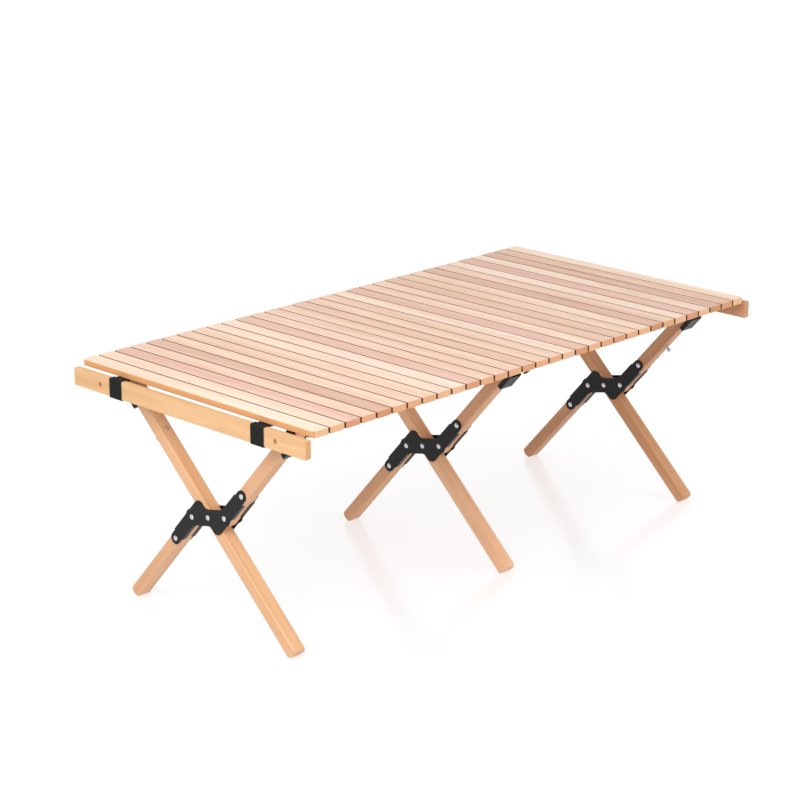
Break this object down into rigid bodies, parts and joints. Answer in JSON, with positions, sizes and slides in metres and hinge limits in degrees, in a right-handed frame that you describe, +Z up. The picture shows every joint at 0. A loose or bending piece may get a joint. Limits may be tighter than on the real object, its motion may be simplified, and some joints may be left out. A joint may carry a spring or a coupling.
{
  "type": "folding picnic table",
  "caption": "Low beech-coloured picnic table with a roll-up slatted top on black webbing, resting on three folding X-shaped wooden frames with black steel cross plates and leg-top brackets.",
  "frame": {"origin": "on the floor, under the centre of the top", "axes": "+X along the table toward the far end, +Y across it to the left, +Z up"},
  "size_m": [1.2514, 0.61, 0.45],
  "materials": {
    "slat_wood": "satin",
    "frame_wood": "satin",
    "black_steel": "satin",
    "bright_steel": "satin",
    "webbing": "matte"
  },
  "bodies": {
    "right_rails": {"right_near_rail": "frame_wood", "right_far_rail": "frame_wood", "near_right_bracket": "black_steel", "mid_right_bracket": "black_steel", "far_right_bracket": "black_steel"},
    "mid_split_leg_body": {"mid_split_leg": "frame_wood", "mid_cross_plates": "black_steel", "mid_rivets": "bright_steel"},
    "near_split_leg_body": {"near_split_leg": "frame_wood", "near_cross_plates": "black_steel", "near_rivets": "bright_steel"},
    "far_split_leg_body": {"far_split_leg": "frame_wood", "far_cross_plates": "black_steel", "far_rivets": "bright_steel"},
    "mid_straight_leg_body": {"mid_straight_leg": "frame_wood", "mid_straight_shoe": "black_steel"},
    "near_straight_leg_body": {"near_straight_leg": "frame_wood", "near_straight_shoe": "black_steel"},
    "far_straight_leg_body": {"far_straight_leg": "frame_wood", "far_straight_shoe": "black_steel"},
    "left_rails": {"left_near_rail": "frame_wood", "left_far_rail": "frame_wood", "near_left_bracket": "black_steel", "mid_left_bracket": "black_steel", "far_left_bracket": "black_steel"},
    "slat_16_body": {"slat_16": "slat_wood", "webbing_straps": "webbing"},
    "slat_17_body": {"slat_17": "slat_wood"},
    "slat_18_body": {"slat_18": "slat_wood"},
    "slat_19_body": {"slat_19": "slat_wood"},
    "slat_20_body": {"slat_20": "slat_wood"},
    "slat_21_body": {"slat_21": "slat_wood"},
    "slat_22_body": {"slat_22": "slat_wood"},
    "slat_23_body": {"slat_23": "slat_wood"},
    "slat_24_body": {"slat_24": "slat_wood"},
    "slat_25_body": {"slat_25": "slat_wood"},
    "slat_26_body": {"slat_26": "slat_wood"},
    "slat_27_body": {"slat_27": "slat_wood"},
    "slat_28_body": {"slat_28": "slat_wood"},
    "slat_29_body": {"slat_29": "slat_wood"},
    "slat_30_body": {"slat_30": "slat_wood"},
    "slat_31_body": {"slat_31": "slat_wood"},
    "slat_32_body": {"slat_32": "slat_wood", "far_end_board": "frame_wood"},
    "slat_15_body": {"slat_15": "slat_wood"},
    "slat_14_body": {"slat_14": "slat_wood"},
    "slat_13_body": {"slat_13": "slat_wood"},
    "slat_12_body": {"slat_12": "slat_wood"},
    "slat_11_body": {"slat_11": "slat_wood"},
    "slat_10_body": {"slat_10": "slat_wood"},
    "slat_09_body": {"slat_09": "slat_wood"},
    "slat_08_body": {"slat_08": "slat_wood"},
    "slat_07_body": {"slat_07": "slat_wood"},
    "slat_06_body": {"slat_06": "slat_wood"},
    "slat_05_body": {"slat_05": "slat_wood"},
    "slat_04_body": {"slat_04": "slat_wood"},
    "slat_03_body": {"slat_03": "slat_wood"},
    "slat_02_body": {"slat_02": "slat_wood"},
    "slat_01_body": {"slat_01": "slat_wood", "near_end_board": "frame_wood"}
  },
  "joints": [
    {"name": "frame_fold", "type": "hinge", "parent": "right_rails", "child": "mid_split_leg_body", "pos_m": [0, -0.218, 0.42], "axis": [-1, 0, 0], "range_deg": [0, 42.5]},
    {"name": "near_split_turn", "type": "hinge", "parent": "right_rails", "child": "near_split_leg_body", "pos_m": [-0.56, -0.218, 0.42], "axis": [-1, 0, 0], "range_deg": [0, 42.5]},
    {"name": "far_split_turn", "type": "hinge", "parent": "right_rails", "child": "far_split_leg_body", "pos_m": [0.56, -0.218, 0.42], "axis": [-1, 0, 0], "range_deg": [0, 42.5]},
    {"name": "mid_cross_turn", "type": "hinge", "parent": "mid_split_leg_body", "child": "mid_straight_leg_body", "pos_m": [0, 0, 0.21], "axis": [1, 0, 0], "range_deg": [0, 85]},
    {"name": "near_cross_turn", "type": "hinge", "parent": "near_split_leg_body", "child": "near_straight_leg_body", "pos_m": [-0.56, 0, 0.21], "axis": [1, 0, 0], "range_deg": [0, 85]},
    {"name": "far_cross_turn", "type": "hinge", "parent": "far_split_leg_body", "child": "far_straight_leg_body", "pos_m": [0.56, 0, 0.21], "axis": [1, 0, 0], "range_deg": [0, 85]},
    {"name": "left_rail_turn", "type": "hinge", "parent": "mid_straight_leg_body", "child": "left_rails", "pos_m": [0, 0.218, 0.42], "axis": [-1, 0, 0], "range_deg": [0, 42.5]},
    {"name": "top_lift", "type": "slide", "parent": "right_rails", "child": "slat_16_body", "axis": [0, 0, 1], "range_m": [0, 0.2]},
    {"name": "top_roll", "type": "hinge", "parent": "slat_16_body", "child": "slat_17_body", "pos_m": [0, 0, 0.4372], "axis": [0, -1, 0], "range_deg": [0, 10], "deforming": ["webbing_straps"]},
    {"name": "slat_18_roll", "type": "hinge", "parent": "slat_17_body", "child": "slat_18_body", "pos_m": [0.03787, 0, 0.4372], "axis": [0, -1, 0], "range_deg": [0, 10]},
    {"name": "slat_19_roll", "type": "hinge", "parent": "slat_18_body", "child": "slat_19_body", "pos_m": [0.07575, 0, 0.4372], "axis": [0, -1, 0], "range_deg": [0, 10]},
    {"name": "slat_20_roll", "type": "hinge", "parent": "slat_19_body", "child": "slat_20_body", "pos_m": [0.11363, 0, 0.4372], "axis": [0, -1, 0], "range_deg": [0, 10]},
    {"name": "slat_21_roll", "type": "hinge", "parent": "slat_20_body", "child": "slat_21_body", "pos_m": [0.1515, 0, 0.4372], "axis": [0, -1, 0], "range_deg": [0, 10]},
    {"name": "slat_22_roll", "type": "hinge", "parent": "slat_21_body", "child": "slat_22_body", "pos_m": [0.18937, 0, 0.4372], "axis": [0, -1, 0], "range_deg": [0, 10]},
    {"name": "slat_23_roll", "type": "hinge", "parent": "slat_22_body", "child": "slat_23_body", "pos_m": [0.22725, 0, 0.4372], "axis": [0, -1, 0], "range_deg": [0, 10]},
    {"name": "slat_24_roll", "type": "hinge", "parent": "slat_23_body", "child": "slat_24_body", "pos_m": [0.26512, 0, 0.4372], "axis": [0, -1, 0], "range_deg": [0, 10]},
    {"name": "slat_25_roll", "type": "hinge", "parent": "slat_24_body", "child": "slat_25_body", "pos_m": [0.303, 0, 0.4372], "axis": [0, -1, 0], "range_deg": [0, 10]},
    {"name": "slat_26_roll", "type": "hinge", "parent": "slat_25_body", "child": "slat_26_body", "pos_m": [0.34087, 0, 0.4372], "axis": [0, -1, 0], "range_deg": [0, 10]},
    {"name": "slat_27_roll", "type": "hinge", "parent": "slat_26_body", "child": "slat_27_body", "pos_m": [0.37875, 0, 0.4372], "axis": [0, -1, 0], "range_deg": [0, 10]},
    {"name": "slat_28_roll", "type": "hinge", "parent": "slat_27_body", "child": "slat_28_body", "pos_m": [0.41663, 0, 0.4372], "axis": [0, -1, 0], "range_deg": [0, 10]},
    {"name": "slat_29_roll", "type": "hinge", "parent": "slat_28_body", "child": "slat_29_body", "pos_m": [0.4545, 0, 0.4372], "axis": [0, -1, 0], "range_deg": [0, 10]},
    {"name": "slat_30_roll", "type": "hinge", "parent": "slat_29_body", "child": "slat_30_body", "pos_m": [0.49238, 0, 0.4372], "axis": [0, -1, 0], "range_deg": [0, 10]},
    {"name": "slat_31_roll", "type": "hinge", "parent": "slat_30_body", "child": "slat_31_body", "pos_m": [0.53025, 0, 0.4372], "axis": [0, -1, 0], "range_deg": [0, 10]},
    {"name": "slat_32_roll", "type": "hinge", "parent": "slat_31_body", "child": "slat_32_body", "pos_m": [0.56812, 0, 0.4372], "axis": [0, -1, 0], "range_deg": [0, 10]},
    {"name": "slat_15_roll", "type": "hinge", "parent": "slat_16_body", "child": "slat_15_body", "pos_m": [-0.03787, 0, 0.4372], "axis": [0, 1, 0], "range_deg": [0, 10]},
    {"name": "slat_14_roll", "type": "hinge", "parent": "slat_15_body", "child": "slat_14_body", "pos_m": [-0.07575, 0, 0.4372], "axis": [0, 1, 0], "range_deg": [0, 10]},
    {"name": "slat_13_roll", "type": "hinge", "parent": "slat_14_body", "child": "slat_13_body", "pos_m": [-0.11363, 0, 0.4372], "axis": [0, 1, 0], "range_deg": [0, 10]},
    {"name": "slat_12_roll", "type": "hinge", "parent": "slat_13_body", "child": "slat_12_body", "pos_m": [-0.1515, 0, 0.4372], "axis": [0, 1, 0], "range_deg": [0, 10]},
    {"name": "slat_11_roll", "type": "hinge", "parent": "slat_12_body", "child": "slat_11_body", "pos_m": [-0.18937, 0, 0.4372], "axis": [0, 1, 0], "range_deg": [0, 10]},
    {"name": "slat_10_roll", "type": "hinge", "parent": "slat_11_body", "child": "slat_10_body", "pos_m": [-0.22725, 0, 0.4372], "axis": [0, 1, 0], "range_deg": [0, 10]},
    {"name": "slat_09_roll", "type": "hinge", "parent": "slat_10_body", "child": "slat_09_body", "pos_m": [-0.26512, 0, 0.4372], "axis": [0, 1, 0], "range_deg": [0, 10]},
    {"name": "slat_08_roll", "type": "hinge", "parent": "slat_09_body", "child": "slat_08_body", "pos_m": [-0.303, 0, 0.4372], "axis": [0, 1, 0], "range_deg": [0, 10]},
    {"name": "slat_07_roll", "type": "hinge", "parent": "slat_08_body", "child": "slat_07_body", "pos_m": [-0.34087, 0, 0.4372], "axis": [0, 1, 0], "range_deg": [0, 10]},
    {"name": "slat_06_roll", "type": "hinge", "parent": "slat_07_body", "child": "slat_06_body", "pos_m": [-0.37875, 0, 0.4372], "axis": [0, 1, 0], "range_deg": [0, 10]},
    {"name": "slat_05_roll", "type": "hinge", "parent": "slat_06_body", "child": "slat_05_body", "pos_m": [-0.41663, 0, 0.4372], "axis": [0, 1, 0], "range_deg": [0, 10]},
    {"name": "slat_04_roll", "type": "hinge", "parent": "slat_05_body", "child": "slat_04_body", "pos_m": [-0.4545, 0, 0.4372], "axis": [0, 1, 0], "range_deg": [0, 10]},
    {"name": "slat_03_roll", "type": "hinge", "parent": "slat_04_body", "child": "slat_03_body", "pos_m": [-0.49238, 0, 0.4372], "axis": [0, 1, 0], "range_deg": [0, 10]},
    {"name": "slat_02_roll", "type": "hinge", "parent": "slat_03_body", "child": "slat_02_body", "pos_m": [-0.53025, 0, 0.4372], "axis": [0, 1, 0], "range_deg": [0, 10]},
    {"name": "slat_01_roll", "type": "hinge", "parent": "slat_02_body", "child": "slat_01_body", "pos_m": [-0.56812, 0, 0.4372], "axis": [0, 1, 0], "range_deg": [0, 10]}
  ],
  "couplings": [
    {"joint": "near_split_turn", "follows": "frame_fold", "ratio": 1},
    {"joint": "far_split_turn", "follows": "frame_fold", "ratio": 1},
    {"joint": "mid_cross_turn", "follows": "frame_fold", "ratio": 2},
    {"joint": "near_cross_turn", "follows": "frame_fold", "ratio": 2},
    {"joint": "far_cross_turn", "follows": "frame_fold", "ratio": 2},
    {"joint": "left_rail_turn", "follows": "frame_fold", "ratio": 1}
  ]
}
